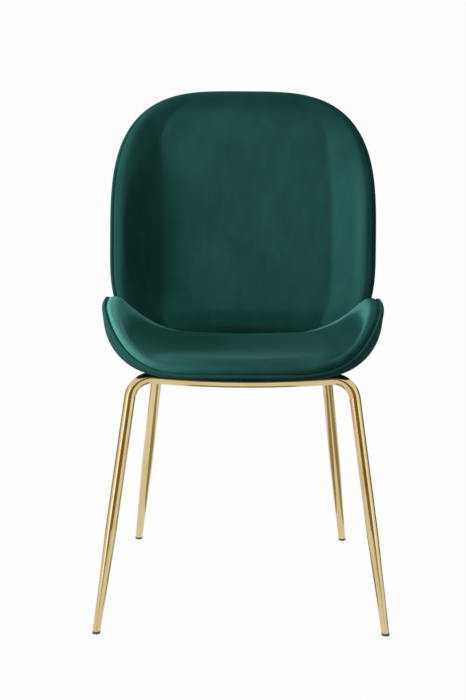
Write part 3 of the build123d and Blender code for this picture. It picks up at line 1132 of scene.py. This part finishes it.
@dataclass
class Studio:
    """Floor, light and camera, in metres and degrees.

    Attributes:
        camera_at: Where the camera stands.
        camera_pan: How far it is turned to the left.
        camera_tilt: How far it looks down.
        camera_roll: How far it is rolled.
        lens: Focal length in millimetres.
        sensor: Width of the sensor in millimetres.
        floor_size: Side of the square floor.
        floor_colour: Colour that takes the shadow and throws light back.
        floor_white: Share of plain white that the floor shows in view.
        sky: Strength of the surroundings as light.
        aim: Place that the lamps are aimed at.
        lamps: Lamps of the studio.
        cards: Cards that give the brass its bands.
    """

    camera_at: Point = (-0.0153, -3.017, 1.222)
    camera_pan: float = 0.03
    camera_tilt: float = 14.57
    camera_roll: float = 0.39
    lens: float = 90.14
    sensor: float = 36.0
    floor_size: float = 400.0
    floor_colour: Colour = (0.2, 0.2, 0.2)
    floor_white: float = 0.98
    sky: float = 0.28
    aim: Point = (0.0, 0.0, 0.5)
    lamps: tuple[Lamp, ...] = (
        Lamp("key", (-2.8, -1.0, 1.3), 1.0, 170.0),
        Lamp("side", (2.4, -1.6, 1.4), 0.8, 14.0),
        Lamp("top", (-0.4, -0.5, 2.6), 1.2, 12.0),
        Lamp("rear", (-0.6, 2.2, 2.1), 1.4, 70.0),
    )
    cards: tuple[Card, ...] = (
        Card("card_front", (-2.1, -3.9, 0.3), (4.2, 0, 0), (0, 0, 1.8), (0.25, 0.16, 0.04)),
        Card("card_glow", (-1.9, -2.2, 0.3), (-0.5, 0.56, 0), (0, 0, 1.5), (2.2, 2.2, 2.2)),
        Card("card_gleam", (1.9, -2.2, 0.3), (0.5, 0.56, 0), (0, 0, 1.5), (1.6, 1.6, 1.6)),
        Card("card_left", (-1.2, 0.0, 0.0), (0.45, 0.75, 0), (0, 0, 0.7), (0.35, 0.3, 0.2)),
        Card("card_right", (0.9, -0.1, 0.0), (-0.2, 0.45, 0), (0, 0, 0.7), (0.1, 0.08, 0.05)),
        # The next two cards are a painted shadow: the chair's shadow on the floor as the brass
        # mirrors it.
        Card("card_under", (-0.12, -0.25, 0.002), (0.24, 0, 0), (0, 0.5, 0), (0.38, 0.33, 0.2)),
        Card("card_beside", (0.26, -0.25, 0.002), (0.4, 0, 0), (0, 0.5, 0), (0.38, 0.33, 0.2)),
    )

    @staticmethod
    def _background_rays(graph: Graph) -> Socket:
        """Tell the rays that show the background, in view or mirrored, from the rest.

        Args:
            graph: Graph of the floor or the surroundings.

        Returns:
            1 for those rays and 0 for the rest.
        """
        view, mirrored, through = (
            graph.node("ShaderNodeLightPath", output=f"Is {kind} Ray")
            for kind in ("Camera", "Glossy", "Transmission")
        )
        return view.largest(mirrored).largest(through)

    @staticmethod
    def _add_panel(
        name: str, finish: str, corners: list[Union[Point, Vector]]
    ) -> tuple[bpy.types.Object, Graph]:
        """Add a flat four-cornered piece of the stage.

        Args:
            name: Name of the panel.
            finish: Name of its material.
            corners: Its corners in turn.

        Returns:
            The panel and the graph of its material, to fill.
        """
        mesh = bpy.data.meshes.new(name)
        mesh.from_pydata(corners, [], [(0, 1, 2, 3)])
        panel = add_object(name, mesh)
        material, graph = new_material(finish)
        mesh.materials.append(material)
        return panel, graph

    def build_floor(self) -> None:
        """Pale floor that keeps a soft shadow."""
        half = self.floor_size / 2
        corners = [(-half, -half, 0), (half, -half, 0), (half, half, 0), (-half, half, 0)]
        _, graph = self._add_panel("floor", "floor_white", corners)
        matt = graph.node("ShaderNodeBsdfDiffuse", {}, {"Color": (*self.floor_colour, 1.0)})
        white = graph.node("ShaderNodeEmission", {}, {"Color": WHITE, "Strength": 1.0})
        share = self.floor_white * self._background_rays(graph)
        mixed = graph.node("ShaderNodeMixShader", {}, {0: share, 1: matt, 2: white})
        graph.node("ShaderNodeOutputMaterial", {}, {"Surface": mixed})

    def build_sky(self) -> None:
        """Even surroundings: white in view, softer as light."""
        world = bpy.data.worlds.new("surroundings")
        world.use_nodes = True
        graph = Graph(world.node_tree)
        strength = self.sky + (1.0 - self.sky) * self._background_rays(graph)
        shader = graph.node("ShaderNodeBackground", {}, {"Color": WHITE, "Strength": strength})
        graph.node("ShaderNodeOutputWorld", {}, {"Surface": shader})
        bpy.context.scene.world = world

    def add_lamp(self, lamp: Lamp) -> None:
        """Set up a lamp that the brass doesn't mirror.

        Args:
            lamp: Lamp to set up.
        """
        data = bpy.data.lights.new(lamp.name, "AREA")
        data.size = lamp.size
        data.energy = lamp.power
        made = add_object(lamp.name, data)
        made.location = lamp.at
        made.visible_glossy = False
        beam = Vector(self.aim) - Vector(lamp.at)
        made.rotation_euler = beam.to_track_quat("-Z", "Y").to_euler()

    def add_card(self, card: Card) -> None:
        """Set up a card, seen only in the polished tubes.

        Args:
            card: Card to set up.
        """
        corner, along, across = (Vector(part) for part in (card.corner, card.along, card.across))
        corners = [corner, corner + along, corner + along + across, corner + across]
        panel, graph = self._add_panel(card.name, card.name, corners)
        for ray in ("camera", "diffuse", "shadow", "transmission", "volume_scatter"):
            setattr(panel, f"visible_{ray}", False)
        shown = graph.node("ShaderNodeEmission", {}, {"Color": (*card.colour, 1.0)})
        graph.node("ShaderNodeOutputMaterial", {}, {"Surface": shown})

    def build_camera(self) -> None:
        """Camera at the photograph's angle."""
        data = bpy.data.cameras.new("camera")
        data.sensor_width = self.sensor
        data.lens = self.lens
        camera = add_object("camera", data)
        turn = Matrix.Identity(4)
        angles = ((self.camera_pan, "Z"), (90 - self.camera_tilt, "X"), (self.camera_roll, "Z"))
        for angle, axis in angles:
            turn = turn @ Matrix.Rotation(math.radians(angle), 4, axis)
        camera.matrix_world = Matrix.Translation(self.camera_at) @ turn
        bpy.context.scene.camera = camera

    def build(self) -> None:
        """Set the stage."""
        bpy.context.scene.view_settings.view_transform = "Standard"
        self.build_camera()
        self.build_floor()
        self.build_sky()
        for lamp in self.lamps:
            self.add_lamp(lamp)
        for card in self.cards:
            self.add_card(card)


SEAT = PaddedShell(
    name="seat",
    dish=DishForm(
        spine=((-241, 458), (-94, 426), (81, 398), (128, 427)),
        half_width=240,
        widest=269,
        rise=110,
        powers=(3.2, 2.9),
        fades=(1.6, 1.15),
        flat_shares=(0.77, 0.57),
        sag_share=0.1,
        bend_share=0.94,
    ),
    cover_node="seat_under_cover",
    pad_nodes=("seat_foam", "seat_top_cover"),
    crown=17,
    edge=10,
    roll=(0.76, 0.96, 1.08),
    last_roll=0.45,
    # Open pile on the rolls, plus painted light on both wings and the rear edge, slight shade in
    # front.
    roll_nap_and_shading=(1.0, 1.3, -0.08, 0.8),
    # Painted light and shade across the top: lighter on the left, darker towards the right edge.
    painted_top_shading=(0.16, 0.05, -1.0),
)

BACK = PaddedShell(
    name="back",
    dish=DishForm(
        spine=((146, 375), (186, 500), (222, 702), (240.5, 870)),
        half_width=238.5,
        widest=212,
        rise=75,
        powers=(3.0, 3.5),
        fades=(1.5, 1.5),
        flat_shares=(0.68, 0.68),
        sag_share=0.08,
        bend_share=0.5,
    ),
    cover_node="back_outer_cover",
    pad_nodes=("back_foam", "back_front_cover"),
    crown=22,
    edge=8,
    pad_cut=51,
    roll_shift=-0.02,
    # Painted light and shade on the roll: right edge lighter, left edge a little and top edge
    # darker.
    roll_nap_and_shading=(-0.05, 0.13, 0.0, -0.35),
)

VELVET = Velvet("emerald_velvet", Slot.VELVET)
LEGS = ("front_left", "front_right", "rear_left", "rear_right")
SHELLS = ("back", "seat")
RIGID = (
    CadPieces(
        PolishedBrass("polished_brass", Slot.BRASS),
        ("front_cross_tube", "rear_cross_tube", *(f"{leg}_leg" for leg in LEGS)),
    ),
    CadPieces(
        Grained("glide_plastic", Slot.GLIDE, (0.008, 0.006, 0.005), (0.02, 0.016, 0.012)),
        tuple(f"{leg}_glide" for leg in LEGS),
    ),
    CadPieces(
        Grained("black_powder_coat", Slot.BLACK_STEEL, (0.01, 0.01, 0.01), (0.02, 0.02, 0.02)),
        ("left_rail", "right_rail", "back_bracket"),
    ),
    CadPieces(
        Grained(
            "zinc_steel",
            Slot.FASTENER,
            dark=(0.42, 0.43, 0.44),
            light=(0.6, 0.6, 0.6),
            rough=(0.25, 0.4),
            metallic=1.0,
        ),
        tuple(f"{shell}_{kind}" for shell in SHELLS for kind in ("bolts", "washers", "tee_nuts")),
    ),
    CadPieces(
        Grained("moulded_shell", Slot.SHELL, (0.012, 0.012, 0.012), (0.025, 0.025, 0.025)),
        tuple(f"{shell}_shell" for shell in SHELLS),
    ),
    CadPieces(
        Grained(
            "raw_board",
            Slot.BOARD,
            dark=(0.25, 0.17, 0.1),
            light=(0.36, 0.26, 0.16),
            rough=(0.75, 0.9),
            grain_scale=400.0,
            relief=0.2,
        ),
        tuple(f"{shell}_board" for shell in SHELLS),
    ),
    CadPieces(
        Grained(
            "spacer_rubber",
            Slot.RUBBER,
            dark=(0.008, 0.008, 0.008),
            light=(0.016, 0.016, 0.016),
            rough=(0.7, 0.85),
        ),
        ("seat_spacers",),
    ),
)


def main() -> None:
    """Set the stage, build the chair's soft pieces and dress the rigid ones."""
    logging.basicConfig(level=logging.INFO, format="%(message)s")
    Studio().build()
    for shell in (SEAT, BACK):
        for piece in shell.build(VELVET):
            log.info("%s: %d faces", piece.name, len(piece.data.polygons))
    for group in RIGID:
        for piece in group.dress():
            log.info("%s: %s (%s)", piece.name, group.finish.name, group.finish.slot.value)


if __name__ == "__main__":
    main()
